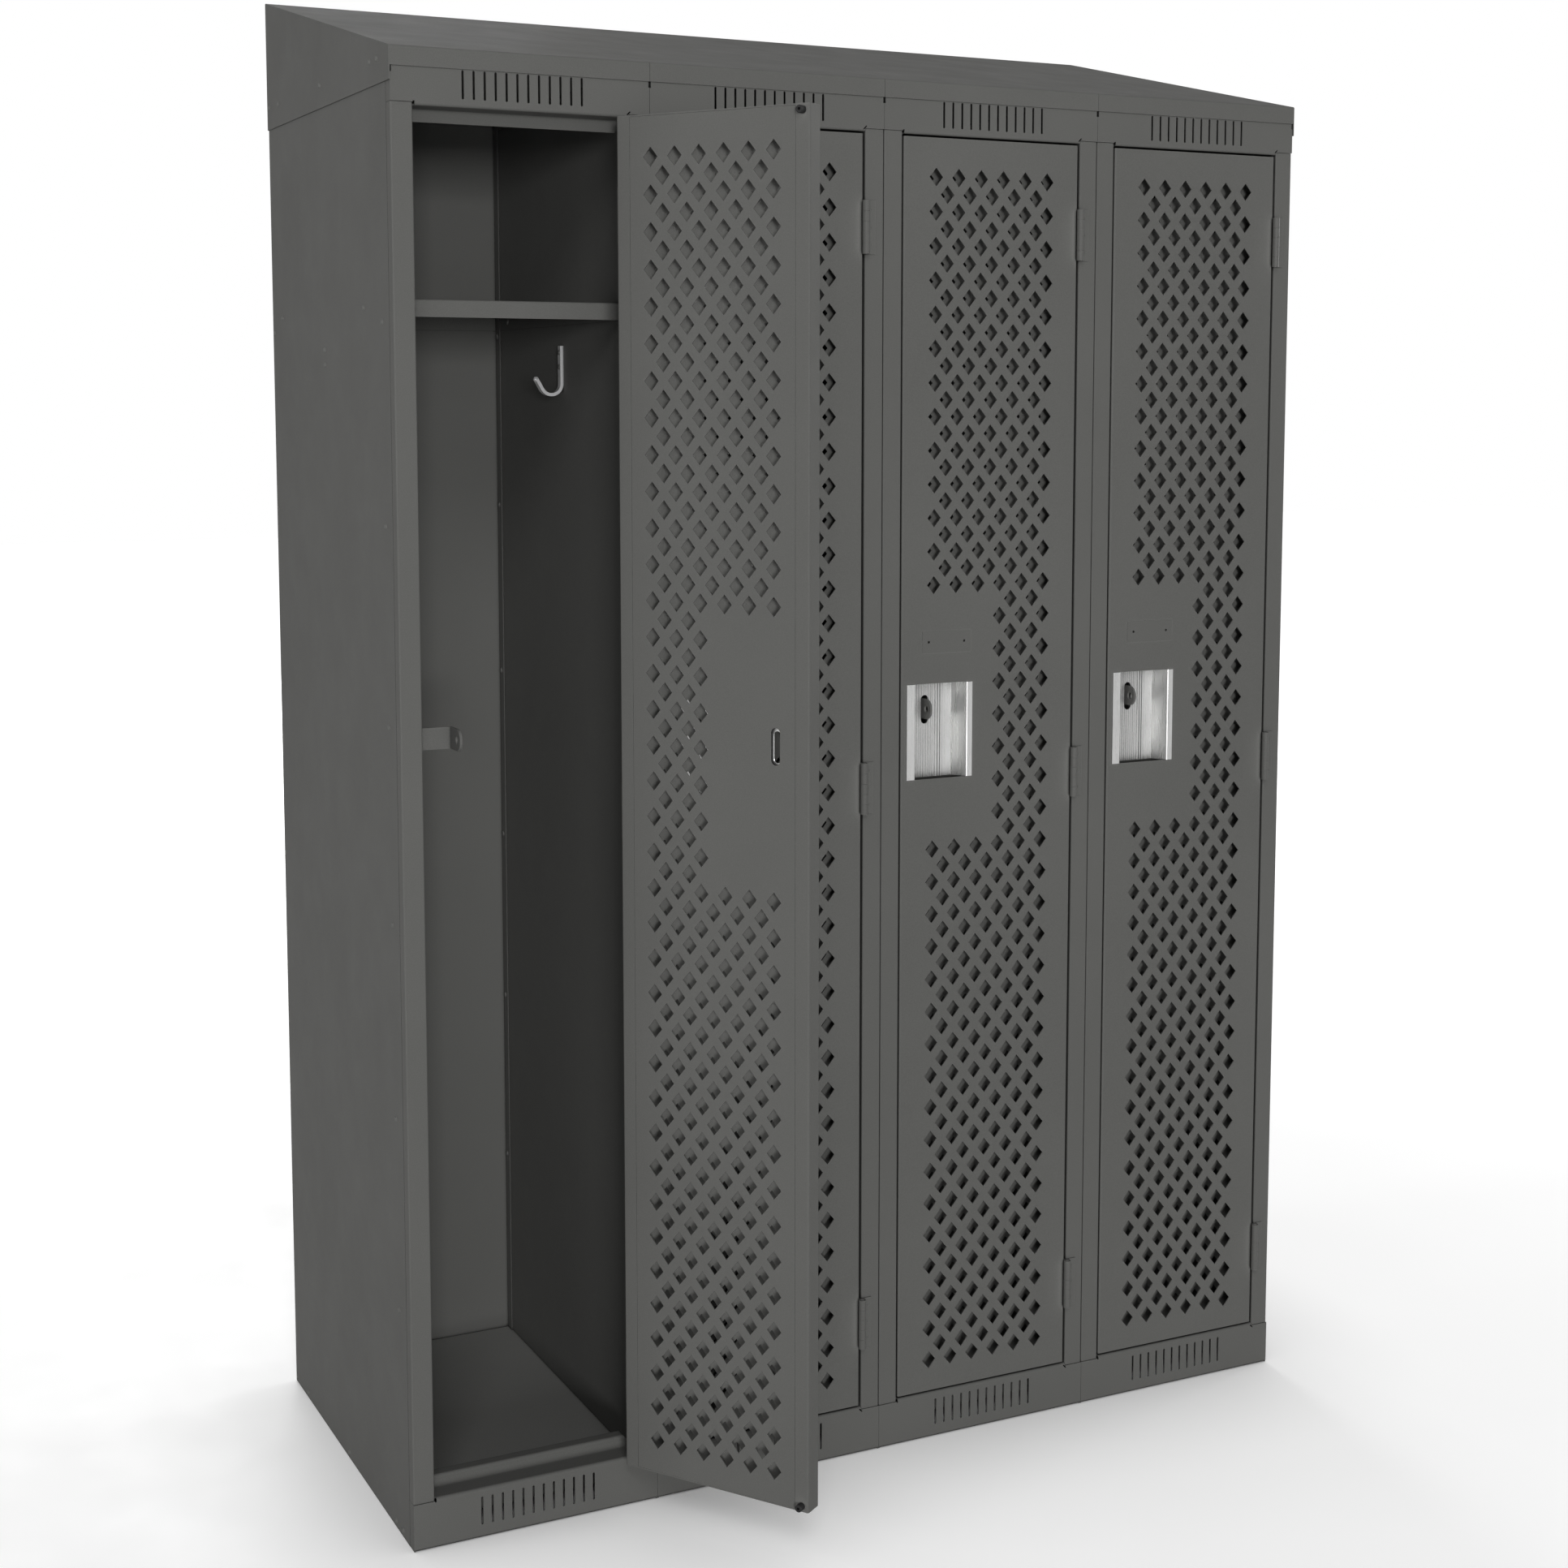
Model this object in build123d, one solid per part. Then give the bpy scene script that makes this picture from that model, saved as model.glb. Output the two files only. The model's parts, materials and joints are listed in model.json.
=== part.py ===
"""A bank of side-by-side steel lockers with perforated doors and a sloping hood on each.

Every piece is its own STEP file in parts/. The row frame is in millimetres with +X to the right as seen
from the front, +Y towards the back and +Z up. The origin is on the floor at the middle of the footprint.
Each locker is drawn in its own corner frame first: x from its left boundary, y back from the front frame's
face and z up from the floor. The first door stands open at rest and the others are closed.
"""

import os
from math import cos, radians, sin

from build123d import *

os.makedirs("parts", exist_ok=True)

# The bank
LOCKERS = 4
WIDTH = 304.8  # one locker, 12 in
DEPTH = 533.4  # front frame to back panel, 21 in
HOOD_FRONT = 1706.0  # floor to the low edge of the hoods
HOOD_BACK = 1828.8  # floor to the high edge of the hoods, 72 in
CARCASS_TOP = 1703.0

# Sheet thicknesses
WALL = 1.2
FRAME = 1.6
SKIN = 1.5
LAP = 0.05  # clearance between sheets that are riveted together

# The front frame
JAMB = 25.4
JAMB_SET = 1.0  # the jambs sit this far behind the header and the sill
JAMB_BEND = 0.95  # radius of their bends along the middle of the sheet
SILL_JOINT, HEADER_JOINT = 56.5, 1646.5
OPEN_BOTTOM, OPEN_TOP = 60.0, 1643.0
RETURN = 30.5  # depth of the jambs' inner returns
STOP = 33.5  # depth of the stop lips that the doors' bumpers meet
RIM, RIM_DEPTH = 11.4, 17.4  # height and depth of the sill's stop and rim
LIP_DROP = 14.0  # height of the header's stop lip
LIP_LEFT, LIP_RIGHT = 16.0, 278.2
JOINT = 0.2  # half of the fine joint between two frame pieces
PANEL_FRONT = 16.6  # the side panels start behind the frame's own returns
FACE_END = PANEL_FRONT - 0.6  # depth of the frame's side returns
TIE = 60.0  # depth of the frame's flanges behind the side panels
RELIEF = 2.2  # width of the relief cuts at the opening's left corners
SLIT = (1.6, 8.0, 5.5)  # the slanting relief cuts at its right corners

# Ventilation slots of the header and the sill
SLOTS, SLOT_PITCH, SLOT_WIDTH = 12, 12.7, 2.8
HEADER_SLOTS, SILL_SLOTS = (1652.0, 1683.5), (16.0, 50.0)

# The doors
GAP_FREE, GAP_HINGE, GAP_ENDS = 2.0, 3.0, 2.5
DOOR_LEFT, DOOR_RIGHT = JAMB + GAP_FREE, WIDTH - JAMB - GAP_HINGE
DOOR_BOTTOM, DOOR_TOP = OPEN_BOTTOM + GAP_ENDS, OPEN_TOP - GAP_ENDS
DOOR_FRONT = 0.5
DOOR_BACK = DOOR_FRONT + 24.0
EDGE_STRIP = 17.6  # width of the outer skin's return on the inner face
EDGE_LAND = 5.0  # where the flat face starts beside the bent edges
FIT = 0.3  # clearance of the inner skin inside the outer pan
FIRST_DOOR_ANGLE = 124.0  # how far the first door stands open at rest

# Diamond perforations: whole rows of six between rows of five
ROWS, COLUMNS = 37, 6
PITCH_X, PITCH_Z = 31.75, 41.4
HALF_X, HALF_Z = 9.5, 11.35
TOP_ROW = DOOR_TOP - 47.0
BLANK_COLUMNS = 3  # columns left out beside the pull
BLANK_FIRST, BLANK_LAST = 13, 19  # rows left out beside the pull

# The pull, its number-plate place and the padlock staple
PULL_LEFT, PULL_RIGHT = DOOR_LEFT + 7.3, DOOR_LEFT + 100.7
PULL_BOTTOM, PULL_TOP = 855.0, 974.0
PULL_SHEET, PULL_DEPTH = 1.6, 18.8
PULL_WALL, PULL_BED, PULL_SLANT = 11.2, 74.3, 7.4  # where the bed starts and ends, and the right flange
FINE_RIBS, FINE_PITCH = 16, 2.2
BOLD_RIBS, BOLD_PITCH, BOLD_FIRST = 3, 3.4, 52.0
STAPLE_X, STAPLE_Z = 70.4, 941.0
STAPLE_HALF, STAPLE_SHEET, STAPLE_EYE = 12.5, 2.8, 4.5
BAR_SHEET, FOOT_LOW, FOOT_HIGH = 2.5, -24.0, 10.0
PLATE_X, PLATE_Z = DOOR_LEFT + 63.7, 1026.0
PLATE_WIDTH, PLATE_HEIGHT, PLATE_PROUD = 69.8, 27.3, 0.6
PLATE_HOLES, PLATE_HOLE_R = 50.8, 1.6
BUMPER_R, BUMPER_WELL_R, BUMPER_IN, BUMPER_UP = 4.3, 1.7, 8.9, 7.0

# Hinges
PIN_X, PIN_Y = 277.9, -4.5
PIN_R, KNUCKLE_HOLE_R, KNUCKLE_R = 2.35, 2.4, 4.6
KNUCKLES, KNUCKLE = 5, 12.7
HINGE_HALF = KNUCKLES * KNUCKLE / 2
HINGE_Z = (170.0, 850.0, 1530.0)
KNUCKLE_GAP = 0.12
LEAF = 1.2
LEAF_SIDE = 293.0  # right edge of the leaf that is welded on the jamb
WELDS, WELD_R, WELD_PROUD = (-21.0, 0.0, 21.0), 1.5, 0.3
RETURN_HOLES, RETURN_HOLE_R, RETURN_HOLE_Y = (-15.4, 15.4), 5.2, 17.0

# Shelf, hooks, floor and rivets
SHELF_TOP, SHELF_FRONT, SHELF_LIP = 1438.0, 86.0, 20.0
FLOOR_TOP, FLOOR_LIP, FOOT = 22.0, 14.0, 25.0
ROOF_LIP, ROOF_SIDE, ROOF_FRONT = 14.0, 20.0, 24.0
HOOK_Y, HOOK_TOP, HOOK_TURN = 284.0, 1392.0, 1345.0
HOOK_THICK, HOOK_WIDE, HOOK_R, HOOK_TIP = 4.0, 9.0, 14.0, 14.0
HOOK_BALL_R = 3.6
HOOK_RIVETS = (1384.0, 1366.0)
RIVET_R, RIVET_HOLE_R = 2.0, 2.05
HEAD_R, HEAD_TOP_R, HEAD = 3.5, 2.4, 1.5
COLUMN_Z = tuple(275.0 + 227.0 * k for k in range(6))
FRONT_COLUMN, REAR_COLUMN = 43.0, 525.0
BACK_FLANGE = REAR_COLUMN - 9.0  # where the back panel's side flanges start
TOP_ROW_RIVETS, FOOT_ROW_RIVETS = 1696.0, 8.0
SILL_RIVET = 42.0
FLOOR_RIVETS = (70.0, 270.0, 468.0)
ROOF_RIVETS = (71.0, 280.0, 477.0)
SHELF_RIVETS, SHELF_RIVET_Z = (115.0, 483.0), 1428.0


def facing(y0):
    """The plane at y0 for what is drawn in x and z."""
    return Plane(origin=(0, y0, 0), x_dir=(1, 0, 0), z_dir=(0, -1, 0))


def sideways(x0):
    """The plane at x0 for what is drawn in y and z."""
    return Plane(origin=(x0, 0, 0), x_dir=(0, 1, 0), z_dir=(1, 0, 0))


def slab(x0, x1, y0, y1, z0, z1):
    """A box between two corners."""
    return Pos((x0 + x1) / 2, (y0 + y1) / 2, (z0 + z1) / 2) * Box(x1 - x0, y1 - y0, z1 - z0)


def rectangle(u0, u1, v0, v1):
    """The outline of a rectangle."""
    return Wire.make_polygon([(u0, v0), (u1, v0), (u1, v1), (u0, v1)])


def facing_sheet(outline, holes, y0, thickness):
    """A sheet drawn in x and z, from y0 towards the back."""
    return extrude(facing(y0) * Face(outline, holes), amount=-thickness)


def sideways_sheet(outline, holes, x0, thickness):
    """A sheet drawn in y and z, from x0 to the right."""
    return extrude(sideways(x0) * Face(outline, holes), amount=thickness)


def bent_strip(points, radius, thickness, x0, x1):
    """A folded sheet, drawn in y and z along its middle line, that runs from x0 to x1."""
    section = trace(FilletPolyline(*points, radius=radius), thickness)
    return extrude(sideways(x0) * section, amount=x1 - x0)


def bent_column(points, radius, thickness, z0, z1):
    """A folded sheet, drawn in x and y along its middle line, that runs from z0 to z1."""
    section = trace(FilletPolyline(*points, radius=radius), thickness)
    return extrude(Pos(0, 0, z0) * section, amount=z1 - z0)


def across(radius, x0, x1, y, z):
    """A cylinder along X."""
    return Pos((x0 + x1) / 2, y, z) * Rot(0, 90, 0) * Cylinder(radius, x1 - x0)


def upright(radius, x, y, z0, z1):
    """A cylinder along Z."""
    return Pos(x, y, (z0 + z1) / 2) * Cylinder(radius, z1 - z0)


def drilled(shape, points):
    """The shape with a rivet hole along X at each (y, z)."""
    return shape - [across(RIVET_HOLE_R, -5, WIDTH + 5, y, z) for y, z in points]


def circle_at(u, v, radius):
    """The outline of a round hole."""
    return Wire.make_circle(radius).moved(Location((u, v, 0)))


def mirrored(shape):
    """The shape on the locker's other side."""
    return mirror(shape, about=Plane(origin=(WIDTH / 2, 0, 0), z_dir=(1, 0, 0)))


def in_bank(shape, number):
    """A piece of one locker, counted from 0, moved to its place in the bank."""
    return Pos((number - LOCKERS / 2) * WIDTH, -DEPTH / 2, 0) * shape


def door_turn(number):
    """Turns a closed door's pieces about the pin to the angle they have at rest."""
    angle = FIRST_DOOR_ANGLE if number == 0 else 0.0
    return Pos(PIN_X, PIN_Y, 0) * Rot(0, 0, angle) * Pos(-PIN_X, -PIN_Y, 0)


def save(shape, name):
    """Writes one node's STEP file."""
    if isinstance(shape, (list, ShapeList)):
        shape = Compound(children=list(shape))
    export_step(shape, f"parts/{name}.step")


def slot_row(z0, z1):
    """The ventilation slots' cutting tool, a row of round-ended slots between two heights."""
    first = WIDTH / 2 - SLOT_PITCH * (SLOTS - 1) / 2
    tools = []
    for k in range(SLOTS):
        section = Pos(first + k * SLOT_PITCH, (z0 + z1) / 2) * SlotOverall(z1 - z0, SLOT_WIDTH, rotation=90)
        tools.append(extrude(facing(0) * section, amount=-6.0, both=True))
    return tools


def frame_flange(z0, z1):
    """The left flange that ties a header, sill or jamb to the panel beside it, with its small step."""
    return slab(JOINT, JOINT + FRAME, FRAME / 2, FACE_END, z0, z1) + slab(
        WALL + LAP, WALL + LAP + FRAME, PANEL_FRONT - 4.0, TIE, z0, z1
    )


def cleared(piece, low, high):
    """A header or sill without what the side panels and the jambs take between two heights."""
    lap = WALL + LAP
    for x0, x1 in ((-1, lap), (WIDTH - lap, WIDTH + 1)):
        piece = piece - slab(x0, x1, FACE_END, TIE + 20, -1, HOOD_BACK)
    for x0, x1 in ((-1, JAMB + JOINT), (WIDTH - JAMB - JOINT, WIDTH + 1)):
        piece = piece - slab(x0, x1, -1, RETURN + 0.4, low, high)
    return piece


def relieved(piece, joint, below):
    """The same piece with its relief cuts: straight at the left jamb and slanting at the right one."""
    way = -1 if below else 1
    low, high = sorted((joint + way * 1.5, joint - way * 40))
    piece = piece - slab(JAMB, JAMB + RELIEF, -1, 4, low, high)
    return piece - Pos(WIDTH - JAMB - 0.6, 0, joint + way) * Rot(0, way * 45, 0) * Box(*SLIT)


def make_header():
    """The frame's top piece: slotted face, short soffit and the stop lip behind the door's top edge."""
    half = FRAME / 2
    top = CARCASS_TOP - 2.0
    joint = HEADER_JOINT + JOINT
    lip = OPEN_TOP - LIP_DROP
    line = [
        (20.0, top - half),
        (half, top - half),
        (half, OPEN_TOP + half),
        (STOP + half, OPEN_TOP + half),
        (STOP + half, lip),
    ]
    header = cleared(bent_strip(line, 2.2, FRAME, JOINT, WIDTH - JOINT), lip - 5, joint)
    for x0, x1 in ((-1, LIP_LEFT), (LIP_RIGHT, WIDTH + 1)):
        header = header - slab(x0, x1, RETURN + 0.3, TIE + 5, lip - 5, joint)
    header = header - Pos(LIP_RIGHT, STOP, lip) * Rot(0, 45, 0) * Box(4, 8, 4)
    side = frame_flange(joint, top)
    header = relieved(header + side + mirrored(side), HEADER_JOINT, False)
    for x in (0.0, WIDTH):  # clear of the hoods' bent corners
        header = header - slab(x - 1.7, x + 1.7, -1, 6, HOOD_FRONT - 28.5, HOOD_BACK)
    return drilled(header - slot_row(*HEADER_SLOTS), [(FRONT_COLUMN, TOP_ROW_RIVETS)])


def make_sill():
    """The frame's foot: slotted face, ledge under the door, stop and rim, and a turned-in bottom edge."""
    half = FRAME / 2
    joint = SILL_JOINT - JOINT
    line = [
        (22.0, half),
        (half, half),
        (half, OPEN_BOTTOM - half),
        (STOP + half, OPEN_BOTTOM - half),
        (STOP + half, OPEN_BOTTOM + RIM - half),
        (STOP + RIM_DEPTH, OPEN_BOTTOM + RIM - half),
        (STOP + RIM_DEPTH, FLOOR_TOP + 2.0),
    ]
    sill = cleared(bent_strip(line, (3.0, 3.0, 8.0, 3.0, 3.0), FRAME, JOINT, WIDTH - JOINT), joint, 100)
    for x0, x1 in ((-1, LIP_LEFT), (LIP_RIGHT, WIDTH + 1)):
        sill = sill - slab(x0, x1, RETURN + 0.3, TIE + 5, 10, 100)
    sill = sill - Pos(LIP_RIGHT, STOP + RIM_DEPTH / 2, OPEN_BOTTOM + RIM) * Rot(0, 45, 0) * Box(6, 30, 6)
    side = frame_flange(0.0, joint) - slab(-1, 10, 50, 100, -1, 100)
    sill = relieved(sill + side + mirrored(side), SILL_JOINT, True)
    return drilled(sill - slot_row(*SILL_SLOTS), [(SILL_RIVET, FOOT_ROW_RIVETS)])


def make_jambs():
    """The frame's two uprights, with holes in the right one's return beside the hinges."""
    half = FRAME / 2
    z0, z1 = SILL_JOINT + JOINT, HEADER_JOINT - JOINT
    line = [
        (JOINT + half, FACE_END),
        (JOINT + half, JAMB_SET + half),
        (JAMB - half, JAMB_SET + half),
        (JAMB - half, RETURN),
    ]
    face = bent_column(line, JAMB_BEND, FRAME, z0, z1)
    flange = slab(WALL + LAP, WALL + LAP + FRAME, PANEL_FRONT - 4.0, TIE, z0, z1)
    left = drilled(face + flange, [(FRONT_COLUMN, z) for z in COLUMN_Z])
    right = mirrored(left)
    edge = WIDTH - JAMB
    for z in HINGE_Z:
        for dz in RETURN_HOLES:
            right = right - across(RETURN_HOLE_R, edge - 2, edge + 3, RETURN_HOLE_Y, z + dz)
    return [left, right]


def wall_holes():
    """The (y, z) of every rivet through a side panel or divider."""
    points = [(y, z) for y in (FRONT_COLUMN, REAR_COLUMN) for z in COLUMN_Z]
    points += [(y, TOP_ROW_RIVETS) for y in (FRONT_COLUMN, *ROOF_RIVETS, REAR_COLUMN)]
    points += [(y, FOOT_ROW_RIVETS) for y in (SILL_RIVET, *FLOOR_RIVETS, REAR_COLUMN)]
    points += [(y, SHELF_RIVET_Z) for y in SHELF_RIVETS]
    points += [(HOOK_Y, z) for z in HOOK_RIVETS]
    return points


def make_wall(x0, x1):
    """A side panel or divider."""
    holes = [circle_at(y, z, RIVET_HOLE_R) for y, z in wall_holes()]
    return sideways_sheet(rectangle(PANEL_FRONT, DEPTH, 0, CARCASS_TOP), holes, x0, x1 - x0)


def make_divider():
    """The double wall between two lockers, with a turned-in foot along its bottom edge."""
    return make_wall(-WALL, WALL) + slab(-WALL, FOOT, TIE, BACK_FLANGE - 1, 0, WALL)


def make_back_panel():
    """One locker's back, with a flange along each side."""
    sheet = slab(WALL + LAP, WIDTH - WALL - LAP, DEPTH - WALL, DEPTH, 0, CARCASS_TOP - 1.0)
    flange = slab(WALL + LAP, 2 * WALL + LAP, BACK_FLANGE, DEPTH, 0, CARCASS_TOP - 1.0)
    points = [(REAR_COLUMN, z) for z in (*COLUMN_Z, TOP_ROW_RIVETS, FOOT_ROW_RIVETS)]
    flange = drilled(flange, points)
    return sheet + flange + mirrored(flange)


def make_tray(top, y0, y1, lip, side, points):
    """A flat sheet with its edges turned down: lip at the front and back, side along the walls."""
    x0, x1 = WALL + LAP, WIDTH - WALL - LAP
    line = [
        (y0 + WALL / 2, top - lip),
        (y0 + WALL / 2, top - WALL / 2),
        (y1 - WALL / 2, top - WALL / 2),
        (y1 - WALL / 2, top - lip),
    ]
    body = bent_strip(line, 1.8, WALL, x0 + 1.7, x1 - 1.7)
    body = body + slab(x0, x1, y0 + 6, BACK_FLANGE - 2, top - WALL, top)
    flange = drilled(slab(x0, x0 + WALL, y0 + 6, BACK_FLANGE - 2, top - side, top), points)
    return body + flange + mirrored(flange)


def make_shelf():
    """The shelf."""
    points = [(y, SHELF_RIVET_Z) for y in SHELF_RIVETS]
    return make_tray(SHELF_TOP, SHELF_FRONT, DEPTH - WALL - 0.2, SHELF_LIP, SHELF_LIP, points)


def make_floor():
    """The floor."""
    points = [(y, FOOT_ROW_RIVETS) for y in FLOOR_RIVETS]
    return make_tray(FLOOR_TOP, STOP + 20.0, DEPTH - WALL - 0.2, FLOOR_LIP, FLOOR_TOP - 2.0, points)


def make_roof():
    """The flat roof under a hood."""
    points = [(y, TOP_ROW_RIVETS) for y in ROOF_RIVETS]
    top = CARCASS_TOP - 0.4
    tray = make_tray(top, ROOF_FRONT, DEPTH - WALL - 0.2, ROOF_LIP, ROOF_SIDE, points)
    return tray - slab(0, WIDTH, -1, TIE + 1.5, top - ROOF_SIDE - 1, top - WALL)


def make_hood(number):
    """One sloping hood. The end hoods have a skirt that laps the side panel outside."""
    half = WALL / 2
    front, back = -0.1 - half, DEPTH + 0.1 + half
    rise = (HOOD_BACK - HOOD_FRONT) / (back - front)
    line = [
        (front, HOOD_FRONT - 21.5),
        (front, HOOD_FRONT - half),
        (back, HOOD_BACK - half),
        (back, HOOD_FRONT - 37.0),
    ]
    x0 = -WALL - LAP if number == 0 else JOINT
    x1 = WIDTH + WALL + LAP if number == LOCKERS - 1 else WIDTH - JOINT
    hood = bent_strip(line, 2.0, WALL, x0, x1)

    def under(y):
        return HOOD_FRONT - WALL * 0.8 + rise * (y - front)

    skirt = Wire.make_polygon(
        [
            (front - half, HOOD_FRONT - 37.0),
            (back + half, HOOD_FRONT - 37.0),
            (back + half, under(back)),
            (front - half, under(front)),
        ]
    )
    low = CARCASS_TOP + 0.8
    turn = front + (low + 14.0 - under(front)) / rise
    stiffener = Wire.make_polygon(
        [(4, low), (turn, low), (back, under(back) - 14), (back, under(back)), (4, under(4))]
    )
    holes = [circle_at(y, TOP_ROW_RIVETS, RIVET_HOLE_R) for y in (FRONT_COLUMN, *ROOF_RIVETS, REAR_COLUMN)]
    for left in (True, False):
        end = (left and number == 0) or (not left and number == LOCKERS - 1)
        x = x0 if left else x1 - WALL
        outline, cuts = (skirt, holes) if end else (stiffener, [])
        hood = hood + sideways_sheet(outline, cuts, x, WALL)
    return hood


def make_hook():
    """A coat hook for the left wall: a strap that curls up and leans outwards at its tip."""
    x0 = WALL + HOOK_THICK / 2
    rise, lean = sin(radians(30)), cos(radians(30))
    bottom = (x0 + HOOK_R, HOOK_TURN - HOOK_R)
    end = (x0 + HOOK_R + HOOK_R * lean, HOOK_TURN - HOOK_R * rise)
    tip = (end[0] + HOOK_TIP * rise, end[1] + HOOK_TIP * lean)
    path = [
        Line((x0, HOOK_TOP), (x0, HOOK_TURN)),
        ThreePointArc((x0, HOOK_TURN), bottom, end),
        Line(end, tip),
    ]
    strap = extrude(facing(0) * trace(Curve() + path, HOOK_THICK), amount=HOOK_WIDE / 2, both=True)
    strap = Pos(0, HOOK_Y, 0) * (strap + Pos(tip[0], 0, tip[1]) * Sphere(HOOK_BALL_R))
    return strap - [across(RIVET_HOLE_R, 0, 8, HOOK_Y, z) for z in HOOK_RIVETS]


def make_strike():
    """The padlock staple: a bar from the left jamb's flange and a drilled D-shaped tab that points forward."""
    left, right = STAPLE_X - STAPLE_SHEET / 2, STAPLE_X + STAPLE_SHEET / 2
    low, high = STAPLE_Z - STAPLE_HALF, STAPLE_Z + STAPLE_HALF
    front = STOP + BAR_SHEET
    back = front + BAR_SHEET
    inner = WALL + LAP + FRAME
    centre = DOOR_FRONT + 0.3 + STAPLE_HALF
    foot = slab(inner, inner + BAR_SHEET, PANEL_FRONT + 4, TIE - 4, STAPLE_Z + FOOT_LOW, STAPLE_Z + FOOT_HIGH)
    bar = slab(inner, right, front, back, low, high)
    tab = slab(left, right, centre, back, low, high)
    nose = across(STAPLE_HALF, left, right, centre, STAPLE_Z)
    eye = across(STAPLE_EYE, left - 5, right + 5, centre - 1.3, STAPLE_Z)
    return foot + bar + tab + nose - eye


def diamond_centres():
    """The (x, z) of every perforation of a door, with the field beside the pull left blank."""
    first = (DOOR_LEFT + DOOR_RIGHT) / 2 - PITCH_X * (COLUMNS - 1) / 2
    centres = []
    for row in range(ROWS):
        for column in range(COLUMNS):
            blank = BLANK_FIRST <= row <= BLANK_LAST and column < BLANK_COLUMNS
            if not blank:
                centres.append((first + column * PITCH_X, TOP_ROW - row * PITCH_Z))
        for column in range(COLUMNS - 1):
            blank = BLANK_FIRST - 1 <= row <= BLANK_LAST and column < BLANK_COLUMNS
            if row < ROWS - 1 and not blank:
                centres.append((first + (column + 0.5) * PITCH_X, TOP_ROW - (row + 0.5) * PITCH_Z))
    return centres


def diamond_outlines():
    """The outlines of the perforations."""
    return [
        Wire.make_polygon([(x - HALF_X, z), (x, z - HALF_Z), (x + HALF_X, z), (x, z + HALF_Z)])
        for x, z in diamond_centres()
    ]


def make_outer_skin():
    """A door's outer pan: perforated face, edges, and the strips that show on the inner face."""
    half = SKIN / 2
    cutout = rectangle(PULL_LEFT + 10.0, PULL_RIGHT - 6.5, PULL_BOTTOM - FIT, PULL_TOP + FIT)
    screws = [circle_at(PLATE_X + side * PLATE_HOLES / 2, PLATE_Z, PLATE_HOLE_R) for side in (-1, 1)]
    holes = [*diamond_outlines(), cutout, *screws]
    outline = rectangle(DOOR_LEFT + EDGE_LAND, DOOR_RIGHT - EDGE_LAND, DOOR_BOTTOM, DOOR_TOP)
    face = facing_sheet(outline, holes, DOOR_FRONT, SKIN)
    line = [
        (DOOR_LEFT + EDGE_STRIP, DOOR_BACK - half),
        (DOOR_LEFT + half, DOOR_BACK - half),
        (DOOR_LEFT + half, DOOR_FRONT + half),
        (DOOR_LEFT + EDGE_LAND, DOOR_FRONT + half),
    ]
    edge = bent_column(line, 1.6, SKIN, DOOR_BOTTOM, DOOR_TOP)
    middle = (DOOR_LEFT + DOOR_RIGHT) / 2
    other = mirror(edge, about=Plane(origin=(middle, 0, 0), z_dir=(1, 0, 0)))
    skin = face + edge + other
    for z in (DOOR_BOTTOM, DOOR_TOP - SKIN):
        skin = skin + slab(DOOR_LEFT + 2.5, DOOR_RIGHT - 2.5, DOOR_FRONT + half, DOOR_BACK - 0.2, z, z + SKIN)
    plate = facing_sheet(
        rectangle(
            PLATE_X - PLATE_WIDTH / 2,
            PLATE_X + PLATE_WIDTH / 2,
            PLATE_Z - PLATE_HEIGHT / 2,
            PLATE_Z + PLATE_HEIGHT / 2,
        ),
        screws,
        DOOR_FRONT - PLATE_PROUD,
        PLATE_PROUD,
    )
    return skin + plate


def make_inner_skin():
    """A door's inner sheet, let in flush between the outer pan's strips and stepped in behind them."""
    slot = Pos(STAPLE_X, STAPLE_Z) * SlotOverall(42.0, 12.0, rotation=90)
    holes = [*diamond_outlines(), slot.wire()]
    x0, x1 = DOOR_LEFT + EDGE_STRIP + FIT, DOOR_RIGHT - EDGE_STRIP - FIT
    z0, z1 = DOOR_BOTTOM + SKIN + FIT, DOOR_TOP - SKIN - FIT
    sheet = facing_sheet(rectangle(x0, x1, z0, z1), holes, DOOR_BACK - WALL, WALL)
    strip_front = DOOR_BACK - SKIN
    for a, b, c in ((x0, x0 + WALL, DOOR_LEFT + SKIN + 1.2), (x1, x1 - WALL, DOOR_RIGHT - SKIN - 1.2)):
        sheet = sheet + slab(min(a, b), max(a, b), strip_front - WALL, DOOR_BACK, z0, z1)
        sheet = sheet + slab(min(b, c), max(b, c), strip_front - WALL, strip_front, z0, z1)
    return sheet


def make_pull():
    """The recessed pull: an aluminium extrusion with flanges, a ribbed bed and a slanting right wall."""
    front = DOOR_FRONT - PULL_SHEET / 2
    bed = DOOR_FRONT + PULL_DEPTH
    wall = PULL_LEFT + PULL_WALL
    line = [
        (PULL_LEFT, front),
        (wall, front),
        (wall, bed),
        (PULL_LEFT + PULL_BED, bed),
        (PULL_RIGHT - PULL_SLANT, front),
        (PULL_RIGHT, front),
    ]
    pull = bent_column(line, 1.1, PULL_SHEET, PULL_BOTTOM, PULL_TOP)
    fine = [(wall + 3.2 + FINE_PITCH * k, 0.5, 0.5) for k in range(FINE_RIBS)]
    bold = [(PULL_LEFT + BOLD_FIRST + BOLD_PITCH * k, 0.9, 1.3) for k in range(BOLD_RIBS)]
    for x, half, proud in fine + bold:
        pull = pull + slab(x - half, x + half, bed - PULL_SHEET / 2 - proud, bed, PULL_BOTTOM, PULL_TOP)
    slot = Pos(STAPLE_X, STAPLE_Z - 1.0) * SlotOverall(36.0, 10.0, rotation=90)
    return pull - extrude(facing(bed) * slot, amount=4, both=True)


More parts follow.
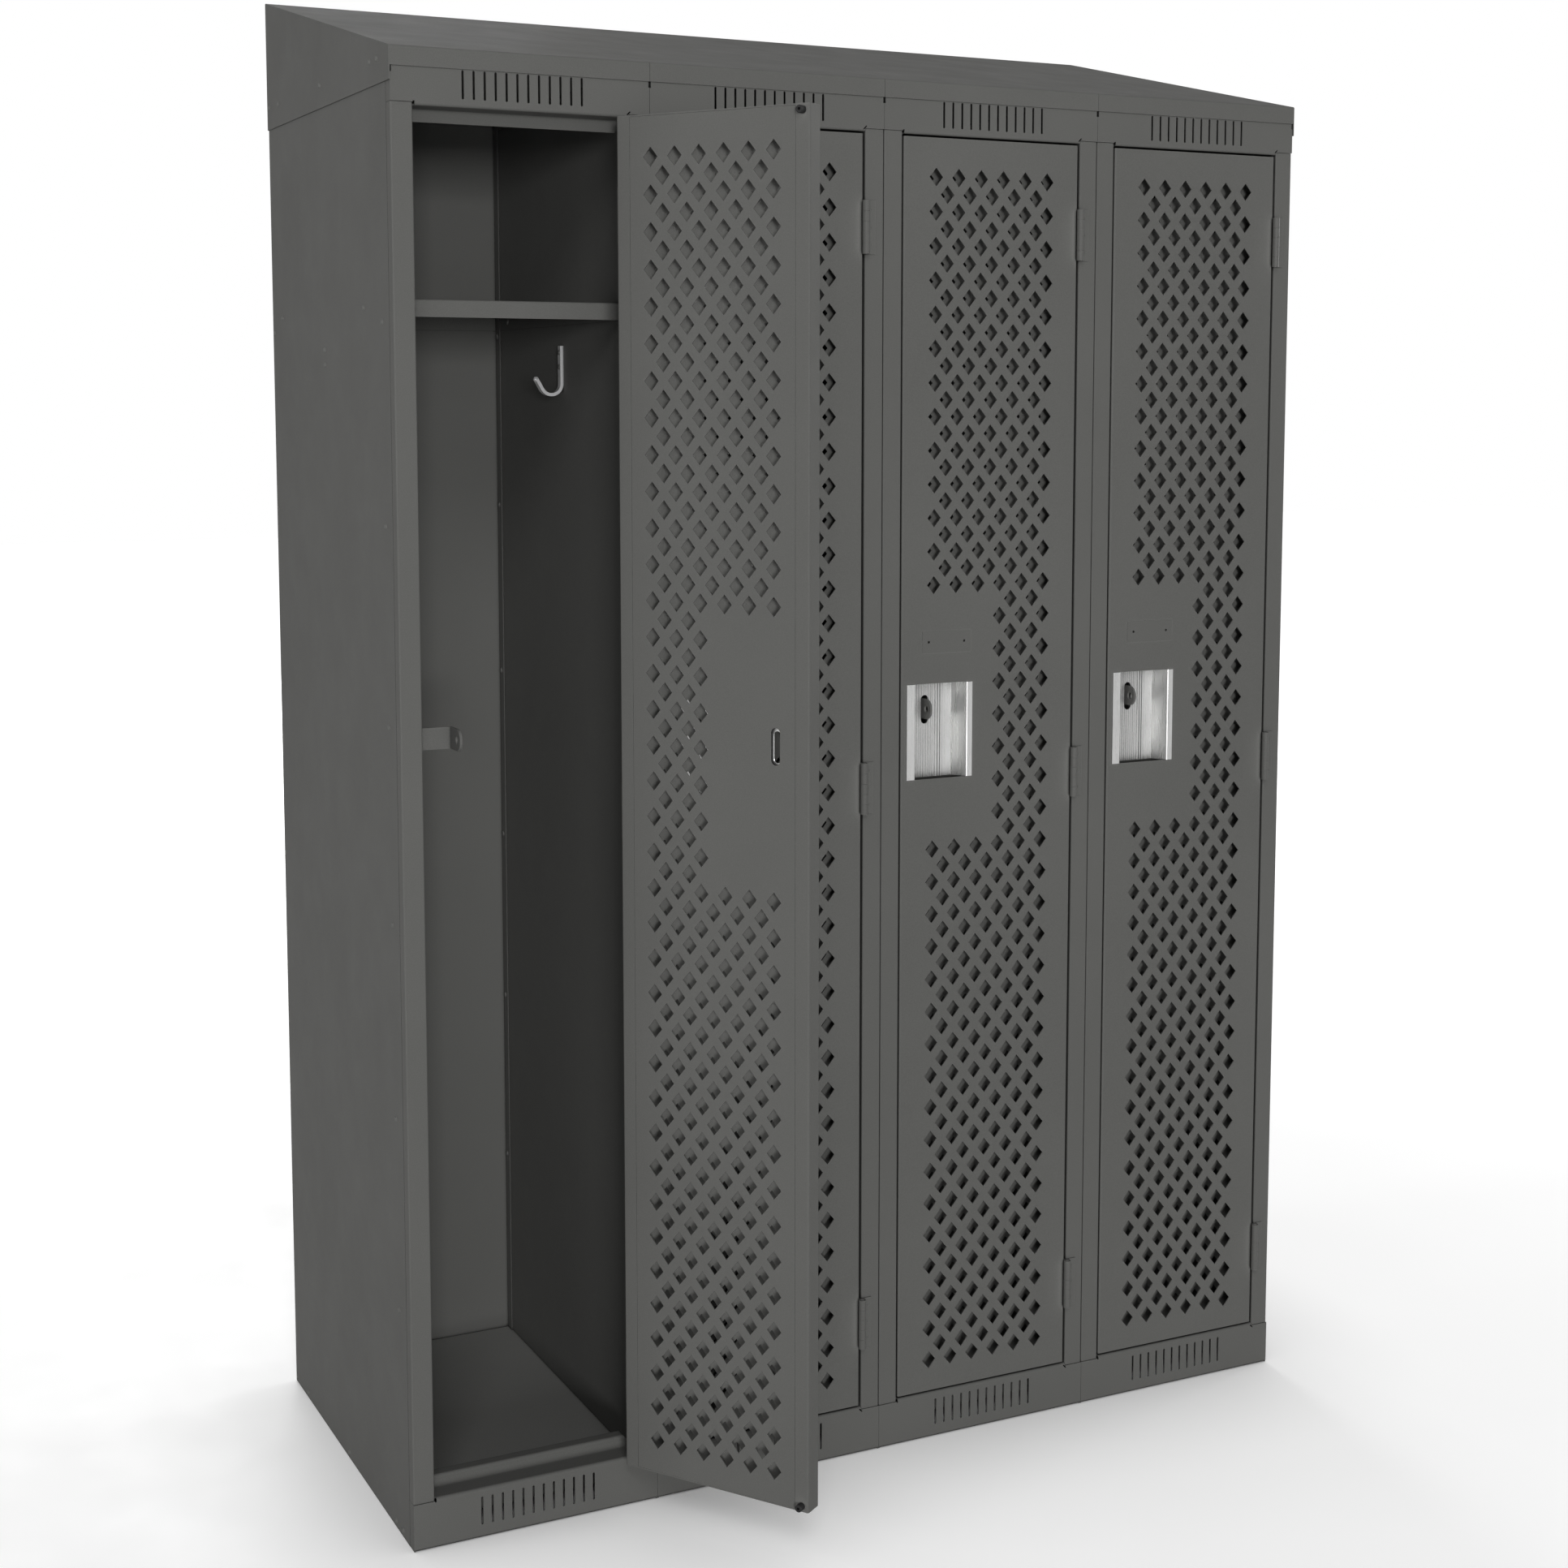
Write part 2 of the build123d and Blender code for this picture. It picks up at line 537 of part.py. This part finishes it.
def make_bumpers():
    """The two rubber bumpers on the inner face, at the free edge's corners."""
    length = STOP - 0.5 - DOOR_BACK
    body = Pos(0, 0, -DOOR_BACK - length / 2) * Cylinder(BUMPER_R, length)
    body = fillet(body.edges().group_by(Axis.Z)[0], 0.8)
    body = body - Pos(0, 0, -DOOR_BACK - length) * Cylinder(BUMPER_WELL_R, 8.0)
    heights = (DOOR_BOTTOM + BUMPER_UP, DOOR_TOP - BUMPER_UP)
    return [Pos(DOOR_LEFT + BUMPER_IN, 0, z) * Rot(90, 0, 0) * body for z in heights]


def knuckle_spans(z, odd):
    """The (bottom, top) of the knuckles that one leaf carries."""
    spans = []
    for k in range(KNUCKLES):
        if k % 2 == odd:
            bottom = z - HINGE_HALF + k * KNUCKLE
            spans.append((bottom + KNUCKLE_GAP, bottom + KNUCKLE - KNUCKLE_GAP))
    return spans


def make_frame_leaf(z):
    """The frame's hinge leaf, spot-welded on the right jamb's face, with three knuckles."""
    low, high = z - HINGE_HALF, z + HINGE_HALF
    face = JAMB_SET - LEAF
    leaf = slab(PIN_X + 2.7, LEAF_SIDE, face, JAMB_SET, low, high)
    for bottom, top in knuckle_spans(z, 0):
        tongue = slab(PIN_X + 0.6, PIN_X + 5.1, PIN_Y + 1.9, face + 0.3, bottom, top)
        leaf = leaf + tongue + upright(KNUCKLE_R, PIN_X, PIN_Y, bottom, top)
    for dz in WELDS:
        leaf = leaf + Pos(LEAF_SIDE - 4.5, face, z + dz) * Rot(90, 0, 0) * Cylinder(WELD_R, 2 * WELD_PROUD)
    return leaf - upright(KNUCKLE_HOLE_R, PIN_X, PIN_Y, low - 1, high + 1)


def make_door_leaf(z):
    """The door's hinge leaf, welded along the door's edge, with two knuckles."""
    low, high = z - HINGE_HALF, z + HINGE_HALF
    leaf = slab(DOOR_RIGHT, DOOR_RIGHT + LEAF, PIN_Y + KNUCKLE_R + 0.6, DOOR_BACK - 3, low, high)
    for bottom, top in knuckle_spans(z, 1):
        tongue = slab(DOOR_RIGHT, DOOR_RIGHT + LEAF, PIN_Y, PIN_Y + KNUCKLE_R + 1.0, bottom, top)
        leaf = leaf + tongue + upright(KNUCKLE_R, PIN_X, PIN_Y, bottom, top)
    return leaf - upright(KNUCKLE_HOLE_R, PIN_X, PIN_Y, low - 1, high + 1)


def rivet(x0, x1, y, z):
    """A rivet through a stack of sheets between x0 and x1, with a low round head on each side."""
    shank = across(RIVET_R, x0, x1, y, z)
    for x, outward in ((x0, -1), (x1, 1)):
        place = Pos(x + outward * HEAD / 2, y, z) * Rot(0, 90 * outward, 0)
        shank = shank + place * Cone(HEAD_R, HEAD_TOP_R, HEAD)
    return shank


def rivet_spots():
    """The y, z, thickness held to the wall and whether a hood's skirt is held too, of a wall's rivets."""
    spots = [(FRONT_COLUMN, z, FRAME, False) for z in COLUMN_Z]
    spots += [(REAR_COLUMN, z, WALL, False) for z in COLUMN_Z]
    spots += [(FRONT_COLUMN, TOP_ROW_RIVETS, FRAME, True), (REAR_COLUMN, TOP_ROW_RIVETS, WALL, True)]
    spots += [(y, TOP_ROW_RIVETS, WALL, True) for y in ROOF_RIVETS]
    spots += [(SILL_RIVET, FOOT_ROW_RIVETS, FRAME, False), (REAR_COLUMN, FOOT_ROW_RIVETS, WALL, False)]
    spots += [(y, FOOT_ROW_RIVETS, WALL, False) for y in FLOOR_RIVETS]
    spots += [(y, SHELF_RIVET_Z, WALL, False) for y in SHELF_RIVETS]
    spots += [(HOOK_Y, z, HOOK_THICK - LAP, False) for z in HOOK_RIVETS]
    return spots


def make_rivets():
    """Every rivet of the bank, one wall after another."""
    rivets = []
    for wall in range(LOCKERS + 1):
        for y, z, thickness, hood in rivet_spots():
            skirt = WALL + LAP if hood else 0.0
            inside = WALL + LAP + thickness
            left = -skirt if wall == 0 else -inside
            right = skirt if wall == LOCKERS else inside
            rivets.append(in_bank(rivet(left, right, y, z), wall))
    return rivets


header, sill, jambs = make_header(), make_sill(), make_jambs()
back_panel, shelf, floor_panel, roof = make_back_panel(), make_shelf(), make_floor(), make_roof()
hook, strike = make_hook(), make_strike()
outer_skin, inner_skin, pull, bumpers = make_outer_skin(), make_inner_skin(), make_pull(), make_bumpers()
door_leaves = [make_door_leaf(z) for z in HINGE_Z]
frame_leaves = [make_frame_leaf(z) for z in HINGE_Z]
pins = [upright(PIN_R, PIN_X, PIN_Y, z - HINGE_HALF + 0.1, z + HINGE_HALF - 0.1) for z in HINGE_Z]

save(in_bank(make_wall(0, WALL), 0), "side_panel_left")
save(in_bank(make_wall(-WALL, 0), LOCKERS), "side_panel_right")
for number in range(1, LOCKERS):
    save(in_bank(make_divider(), number), f"divider_{number}")

roofs, hooks, strikes, all_leaves, all_pins = [], [], [], [], []
for number in range(LOCKERS):
    name = number + 1
    save(in_bank(header, number), f"header_{name}")
    save(in_bank(sill, number), f"sill_{name}")
    save([in_bank(jamb, number) for jamb in jambs], f"jambs_{name}")
    save(in_bank(back_panel, number), f"back_panel_{name}")
    save(in_bank(floor_panel, number), f"floor_panel_{name}")
    save(in_bank(shelf, number), f"shelf_{name}")
    save(in_bank(make_hood(number), number), f"slope_hood_{name}")
    roofs.append(in_bank(roof, number))
    hooks += [in_bank(hook, number), in_bank(mirrored(hook), number)]
    strikes.append(in_bank(strike, number))
    all_leaves += [in_bank(leaf, number) for leaf in frame_leaves]
    all_pins += [in_bank(pin, number) for pin in pins]

    turn = door_turn(number)
    save(in_bank(turn * outer_skin, number), f"door_{name}_outer_skin")
    save(in_bank(turn * inner_skin, number), f"door_{name}_inner_skin")
    save(in_bank(turn * pull, number), f"door_{name}_pull")
    save([in_bank(turn * leaf, number) for leaf in door_leaves], f"door_{name}_hinge_leaves")
    save([in_bank(turn * bumper, number) for bumper in bumpers], f"door_{name}_bumpers")

save(roofs, "roof_panels")
save(hooks, "coat_hooks")
save(strikes, "lock_strikes")
save(all_leaves, "frame_hinge_leaves")
save(all_pins, "hinge_pins")
save(make_rivets(), "rivets")
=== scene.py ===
"""The looks of a bank of steel lockers: powder coat, pulls, hooks, floor, light and camera."""

import json
import math

import bpy
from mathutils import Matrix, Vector

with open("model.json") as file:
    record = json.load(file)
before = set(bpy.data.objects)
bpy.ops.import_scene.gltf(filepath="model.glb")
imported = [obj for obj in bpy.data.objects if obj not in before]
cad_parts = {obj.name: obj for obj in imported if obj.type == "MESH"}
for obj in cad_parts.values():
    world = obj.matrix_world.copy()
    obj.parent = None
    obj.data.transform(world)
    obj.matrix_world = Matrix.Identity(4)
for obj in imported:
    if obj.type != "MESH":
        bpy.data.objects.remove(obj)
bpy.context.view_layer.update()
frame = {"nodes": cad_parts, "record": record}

# Lockers
LOCKERS = 4
WIDTH = 0.3048
DEPTH = 0.5334
LEFT = -LOCKERS / 2 * WIDTH
FRONT = -DEPTH / 2

# Camera: its place, aim and the part of the picture that it frames
CAMERA_PLACE = (LEFT - 0.750, FRONT - 2.486, 1.320)
CAMERA_YAW, CAMERA_PITCH = 0.458, 0.102
FOCAL, SENSOR = 53.35, 36.0
SHIFT_Y = -0.091

# Surroundings: the light that they give, what shiny surfaces reflect of them and what the camera sees
AMBIENT, GLOSS, BACKDROP = 0.20, 0.55, 1.0
FLOOR_LIFT = (0.45, 0.95)  # painted light: the floor's glow seen by the camera, near the bank and far from it

# Lamps: azimuth and elevation as seen from the bank, distance, size, share of full light, what they aim at
LAMPS = {
    "key": (-16, 4, 13, 2.0, 0.47, (LEFT + WIDTH / 2, FRONT, 0.85)),
    "high key": (-20, 36, 8, 2.5, 0.22, (LEFT + WIDTH / 2, FRONT, 0.9)),
    "side": (-98, 9, 8, 2.5, 0.20, (LEFT, 0, 0.9)),
    "top": (150, 76, 6, 3.0, 0.08, (0, 0, 1.7)),
    "right fill": (96, 12, 8, 3.0, 0.28, (-LEFT, 0, 0.9)),
    "back fill": (172, 14, 8, 3.0, 0.34, (0, -FRONT, 0.9)),
}

# Colours, linear
PAINT = (0.1095, 0.1095, 0.1045)
FLOOR_PANEL_PAINTED_LIGHT = (0.235, 0.235, 0.226)  # the floor panels' coat, paler than the paint: painted light for the locker floors, which get little light
# the strike's coat, a little paler than the paint: painted light on its shaded faces
STAPLE_PAINTED_LIGHT = (0.114, 0.114, 0.109)
ALUMINIUM = (0.93, 0.93, 0.92)
CHROME = (0.90, 0.90, 0.91)
STEEL = (0.46, 0.46, 0.45)
RUBBER = (0.004, 0.004, 0.004)
FLOOR = (0.80, 0.80, 0.80)
WHITE = (1, 1, 1)

# Powder coat: factors on its colour, and how far in metres each change reaches
CLOUD = (0.95, 1.05)
SPECK, SPECK_SHARE = 1.9, 0.16
RUBBED, RUBBED_WIDTH = 2.3, 0.0012
# painted shade: the coat darkens in gaps, holes and corners within this depth
CREVICE_SHADE, CREVICE_SHADE_DEPTH = 0.08, 0.005
PAN_PAINTED_LIGHT, PAN_DEPTH = 2.1, 0.03  # the sides of the holes that look into a door's pan: painted light, paler where the pan lies in real shade
COAT_SPECULAR = 0.10

# Bare metal: factors on its colour, and how far in metres each change reaches
TARNISH = 0.93
POLISHED, POLISHED_WIDTH = 1.25, 0.0005
# painted shade: bare metal darkens in grooves and corners within this depth
GROOVE_SHADE, GROOVE_SHADE_DEPTH = 0.2, 0.003
# painted shade: bare metal darkens where it is shut in, within this depth
SHUT_IN_DEPTH = 0.03

# The studio floor
FLOOR_SIZE, FLOOR_DROP = 40, 0.0005
FLOOR_SPECULAR = 0.15
FLOOR_SHADE_DEPTH = 0.25


def shaded(colour, factor):
    """The colour, lighter or darker by a factor."""
    return tuple(min(channel * factor, 1) for channel in colour)


class Nodes:
    """A short way to build a material's nodes."""

    def __init__(self, name):
        self.material = bpy.data.materials.new(name)
        self.material.use_nodes = True
        self.tree = self.material.node_tree
        self.shader = self.tree.nodes["Principled BSDF"]

    def add(self, kind, **settings):
        """A new node with its settings."""
        node = self.tree.nodes.new(kind)
        for key, value in settings.items():
            setattr(node, key, value)
        return node

    def link(self, output, target):
        """Joins an output to an input."""
        self.tree.links.new(output, target)

    def noise(self, scale, detail=4.0, roughness=0.55, stretch=(1, 1, 1)):
        """Noise over the object's own space."""
        where = self.add("ShaderNodeTexCoord")
        mapping = self.add("ShaderNodeMapping")
        mapping.inputs["Scale"].default_value = stretch
        noise = self.add("ShaderNodeTexNoise")
        noise.inputs["Scale"].default_value = scale
        noise.inputs["Detail"].default_value = detail
        noise.inputs["Roughness"].default_value = roughness
        self.link(where.outputs["Object"], mapping.inputs["Vector"])
        self.link(mapping.outputs["Vector"], noise.inputs["Vector"])
        return noise.outputs["Fac"]

    def span(self, value, low, high, from_low=0.3, from_high=0.7):
        """The value, moved from one range to another."""
        node = self.add("ShaderNodeMapRange")
        node.inputs["From Min"].default_value = from_low
        node.inputs["From Max"].default_value = from_high
        node.inputs["To Min"].default_value = low
        node.inputs["To Max"].default_value = high
        self.link(value, node.inputs["Value"])
        return node.outputs["Result"]

    def mix(self, factor, first, second):
        """A colour between two others."""
        node = self.add("ShaderNodeMix", data_type="RGBA")
        sockets = [socket for socket in node.inputs if socket.type == "RGBA"]
        for socket, colour in zip(sockets, (first, second)):
            if isinstance(colour, bpy.types.NodeSocket):
                self.link(colour, socket)
            else:
                socket.default_value = (*colour, 1)
        self.link(factor, node.inputs["Factor"])
        return next(socket for socket in node.outputs if socket.type == "RGBA")

    def hollows(self, distance):
        """1 in the open and 0 deep in gaps, holes and corners."""
        node = self.add("ShaderNodeAmbientOcclusion", samples=4, only_local=False)
        node.inputs["Distance"].default_value = distance
        return node.outputs["AO"]

    def edges(self, radius):
        """1 along the edges and 0 on the flats, from how much a rounded normal turns away."""
        bevel = self.add("ShaderNodeBevel", samples=4)
        bevel.inputs["Radius"].default_value = radius
        shape = self.add("ShaderNodeNewGeometry")
        likeness = self.add("ShaderNodeVectorMath", operation="DOT_PRODUCT")
        self.link(bevel.outputs["Normal"], likeness.inputs[0])
        self.link(shape.outputs["True Normal"], likeness.inputs[1])
        return self.span(likeness.outputs["Value"], 1.0, 0.0, 0.72, 0.985)

    def bump(self, heights):
        """The surface's bumps of (height, strength, distance in metres), one on another."""
        last = None
        for height, strength, distance in heights:
            node = self.add("ShaderNodeBump")
            node.inputs["Strength"].default_value = strength
            node.inputs["Distance"].default_value = distance
            self.link(height, node.inputs["Height"])
            if last is not None:
                self.link(last, node.inputs["Normal"])
            last = node.outputs["Normal"]
        self.link(last, self.shader.inputs["Normal"])

    def product(self, first, second):
        """One value times another."""
        node = self.add("ShaderNodeMath", operation="MULTIPLY")
        self.link(first, node.inputs[0])
        self.link(second, node.inputs[1])
        return node.outputs["Value"]


def powder_coat(name, colour, roughness=0.62, wear=0.30, painted_light_inside=False):
    """Powder coat: a fine orange peel, faint cloudiness, slightly rubbed edges and painted shade in its
    gaps and corners.

    When asked, it is paler on the sides of the holes of a double-skinned door: painted light where the pan
    lies in real shade.
    """
    n = Nodes(name)
    cloud = n.span(n.noise(3.0, 3.0), 0.0, 1.0)
    coat = n.mix(cloud, *(shaded(colour, factor) for factor in CLOUD))
    speck = n.span(n.noise(900.0, 2.0, 0.6), 0.0, SPECK_SHARE)
    coat = n.mix(speck, coat, shaded(colour, SPECK))
    patches = n.span(n.noise(55.0, 4.0, 0.65), 0.15, 1.0, 0.40, 0.62)
    rubbed = n.span(n.product(n.edges(RUBBED_WIDTH), patches), 0.0, wear, 0.0, 1.0)
    coat = n.mix(rubbed, coat, shaded(colour, RUBBED))
    if painted_light_inside:
        # Painted light: the coat is paler deep in a door's pan, where real shade falls.
        within = n.span(n.hollows(PAN_DEPTH), 1.0, 0.0, 0.60, 0.85)
        coat = n.mix(within, coat, shaded(colour, PAN_PAINTED_LIGHT))
    # Painted shade: the coat darkens deep in gaps and corners, where shade falls.
    open_air = n.span(n.hollows(CREVICE_SHADE_DEPTH), 0.0, 1.0, 0.2, 0.8)
    n.link(n.mix(open_air, shaded(colour, CREVICE_SHADE), coat), n.shader.inputs["Base Color"])
    n.link(n.span(n.noise(14.0, 5.0), roughness - 0.05, roughness + 0.06), n.shader.inputs["Roughness"])
    n.shader.inputs["Specular IOR Level"].default_value = COAT_SPECULAR
    orange_peel, waviness = n.noise(420.0, 2.0, 0.5), n.noise(7.0, 2.0)
    n.bump([(orange_peel, 0.10, 0.0004), (waviness, 0.05, 0.004)])
    return n.material


def metal(name, colour, roughness, grain, grain_scale, grain_depth=0.12, metallic=0.85, shut_in_shade=0.0):
    """Bare metal with a grain along one axis and painted shade in its grooves and corners.

    Where it is shut in, a share of its brightness is taken away: painted shade.
    """
    n = Nodes(name)
    lines = n.noise(grain_scale, 3.0, 0.6, grain)
    cloud = n.span(n.noise(25.0, 4.0), 0.0, 1.0)
    body = n.mix(cloud, shaded(colour, TARNISH), colour)
    body = n.mix(n.span(n.edges(POLISHED_WIDTH), 0.0, 0.5, 0, 1), body, shaded(colour, POLISHED))
    # Painted shade: the metal darkens where it is shut in, such as the back of a pull inside a door's pan.
    if shut_in_shade:
        open_air = n.span(n.hollows(SHUT_IN_DEPTH), 0.0, 1.0, 0.30, 0.68)
        body = n.mix(open_air, shaded(colour, 1 - shut_in_shade), body)
    # Painted shade: the metal darkens deep in grooves and corners, where shade falls.
    open_air = n.span(n.hollows(GROOVE_SHADE_DEPTH), 0.0, 1.0, 0.3, 0.9)
    n.link(n.mix(open_air, shaded(colour, GROOVE_SHADE), body), n.shader.inputs["Base Color"])
    n.link(n.span(lines, roughness - 0.06, roughness + 0.08), n.shader.inputs["Roughness"])
    n.shader.inputs["Metallic"].default_value = metallic
    n.bump([(lines, grain_depth, 0.0002)])
    return n.material


def rubber(name):
    """Moulded black rubber."""
    n = Nodes(name)
    body = n.mix(n.span(n.noise(120.0), 0.0, 1.0), RUBBER, shaded(RUBBER, 2.0))
    n.link(body, n.shader.inputs["Base Color"])
    n.link(n.span(n.noise(200.0), 0.62, 0.78), n.shader.inputs["Roughness"])
    n.bump([(n.noise(1500.0, 2.0), 0.15, 0.0002)])
    return n.material


def floor_material(name):
    """A pale, faintly uneven studio floor with a painted glow for the camera, so it looks nearly as bright
    as the backdrop behind it, cut to a painted shadow under and beside the bank.
    """
    n = Nodes(name)
    body = n.mix(n.span(n.noise(1.5, 5.0), 0.0, 1.0), FLOOR, shaded(FLOOR, 1.05))
    n.link(body, n.shader.inputs["Base Color"])
    n.link(n.span(n.noise(9.0), 0.55, 0.7), n.shader.inputs["Roughness"])
    n.shader.inputs["Specular IOR Level"].default_value = FLOOR_SPECULAR
    path = n.add("ShaderNodeLightPath")
    place = n.add("ShaderNodeTexCoord")
    away = n.add("ShaderNodeVectorMath", operation="LENGTH")
    n.link(place.outputs["Object"], away.inputs[0])
    near, far = 1.0, 6.0
    # Painted light: the floor glows for the camera, more so far from the bank; the glow falls away to a
    # painted shadow under and beside the bank.
    lift = n.product(n.span(away.outputs["Value"], *FLOOR_LIFT, near, far), n.hollows(FLOOR_SHADE_DEPTH))
    n.link(n.product(lift, path.outputs["Is Camera Ray"]), n.shader.inputs["Emission Strength"])
    n.shader.inputs["Emission Color"].default_value = (*WHITE, 1)
    return n.material


def use(node, material):
    """A CAD node takes a material."""
    slots = frame["nodes"][node].data.materials
    slots.clear()
    slots.append(material)


def paint_everything():
    """Gives each CAD node its slot's material, and the floor panels and doors their own coats."""
    materials = {
        "painted_steel": powder_coat("charcoal powder coat", PAINT),
        "strike_steel": powder_coat("staple coat with painted light", STAPLE_PAINTED_LIGHT, 0.45, 0.5),
        "hinge_steel": powder_coat("hinge coat", PAINT, 0.46, 0.5),
        "pull_aluminium": metal("pull aluminium", ALUMINIUM, 0.30, (1, 1, 0.02), 900.0, 0.2, shut_in_shade=0.9),
        "hook_metal": metal("hook chrome", CHROME, 0.16, (1, 1, 1), 60.0, 0.02, 0.5),
        "pin_steel": metal("pin steel", STEEL, 0.32, (1, 1, 0.05), 600.0),
        "rivet_metal": powder_coat("rivet coat", PAINT, 0.42, 0.6),
        "bumper_rubber": rubber("bumper rubber"),
    }
    for part in frame["record"]["subparts"]:
        use(part["node"], materials[part["material_slot"]])
    # The floor panels' paler coat is painted light.
    lit_floor_coat = powder_coat("floor panel coat with painted light", FLOOR_PANEL_PAINTED_LIGHT, 0.55, 0.5)
    # The doors' outer skins get painted light inside their pans.
    door_coat_painted_light = powder_coat("door pan coat with painted light", PAINT, painted_light_inside=True)
    for number in range(1, LOCKERS + 1):
        use(f"floor_panel_{number}", lit_floor_coat)
        use(f"door_{number}_outer_skin", door_coat_painted_light)


def studio_light(name, azimuth, elevation, distance, size, share, target):
    """A square lamp round the bank. It lights what faces it with that share of the full light."""
    turn, lift = math.radians(azimuth), math.radians(elevation)
    away = Vector((math.sin(turn) * math.cos(lift), -math.cos(turn) * math.cos(lift), math.sin(lift)))
    lamp = bpy.data.lights.new(name, "AREA")
    lamp.energy = (math.pi * distance) ** 2 * share
    lamp.shape = "SQUARE"
    lamp.size = size
    thing = bpy.data.objects.new(name, lamp)
    thing.location = Vector(target) + away * distance
    thing.rotation_mode = "QUATERNION"
    thing.rotation_quaternion = away.to_track_quat("Z", "Y")
    bpy.context.scene.collection.objects.link(thing)


def make_room():
    """The pale floor and the white surroundings."""
    bpy.ops.mesh.primitive_plane_add(size=FLOOR_SIZE, location=(0, 0, -FLOOR_DROP))
    ground = bpy.context.object
    ground.name = "floor"
    ground.data.materials.append(floor_material("pale floor"))
    world = bpy.data.worlds.new("studio")
    world.use_nodes = True
    tree = world.node_tree
    background = tree.nodes["Background"]
    background.inputs["Color"].default_value = (*WHITE, 1)
    path = tree.nodes.new("ShaderNodeLightPath")
    lit = tree.nodes.new("ShaderNodeMapRange")
    lit.inputs["To Min"].default_value = AMBIENT
    lit.inputs["To Max"].default_value = GLOSS
    tree.links.new(path.outputs["Is Glossy Ray"], lit.inputs["Value"])
    seen = tree.nodes.new("ShaderNodeMapRange")
    seen.inputs["To Max"].default_value = BACKDROP
    tree.links.new(lit.outputs["Result"], seen.inputs["To Min"])
    tree.links.new(path.outputs["Is Camera Ray"], seen.inputs["Value"])
    tree.links.new(seen.outputs["Result"], background.inputs["Strength"])
    bpy.context.scene.world = world


def light_everything():
    """The lamps, and colours shown as they are."""
    for name, settings in LAMPS.items():
        studio_light(name, *settings)
    bpy.context.scene.view_settings.view_transform = "Standard"


def make_camera():
    """The camera, to the left of the bank and a little above its middle."""
    data = bpy.data.cameras.new("camera")
    data.lens = FOCAL
    data.sensor_width = SENSOR
    data.shift_y = SHIFT_Y
    data.clip_start, data.clip_end = 0.05, 100
    camera = bpy.data.objects.new("camera", data)
    camera.location = CAMERA_PLACE
    camera.rotation_mode = "QUATERNION"
    level = math.cos(CAMERA_PITCH)
    aim = Vector((math.sin(CAMERA_YAW) * level, math.cos(CAMERA_YAW) * level, -math.sin(CAMERA_PITCH)))
    camera.rotation_quaternion = aim.to_track_quat("-Z", "Y")
    bpy.context.scene.collection.objects.link(camera)
    bpy.context.scene.camera = camera


paint_everything()
make_room()
make_camera()
light_everything()
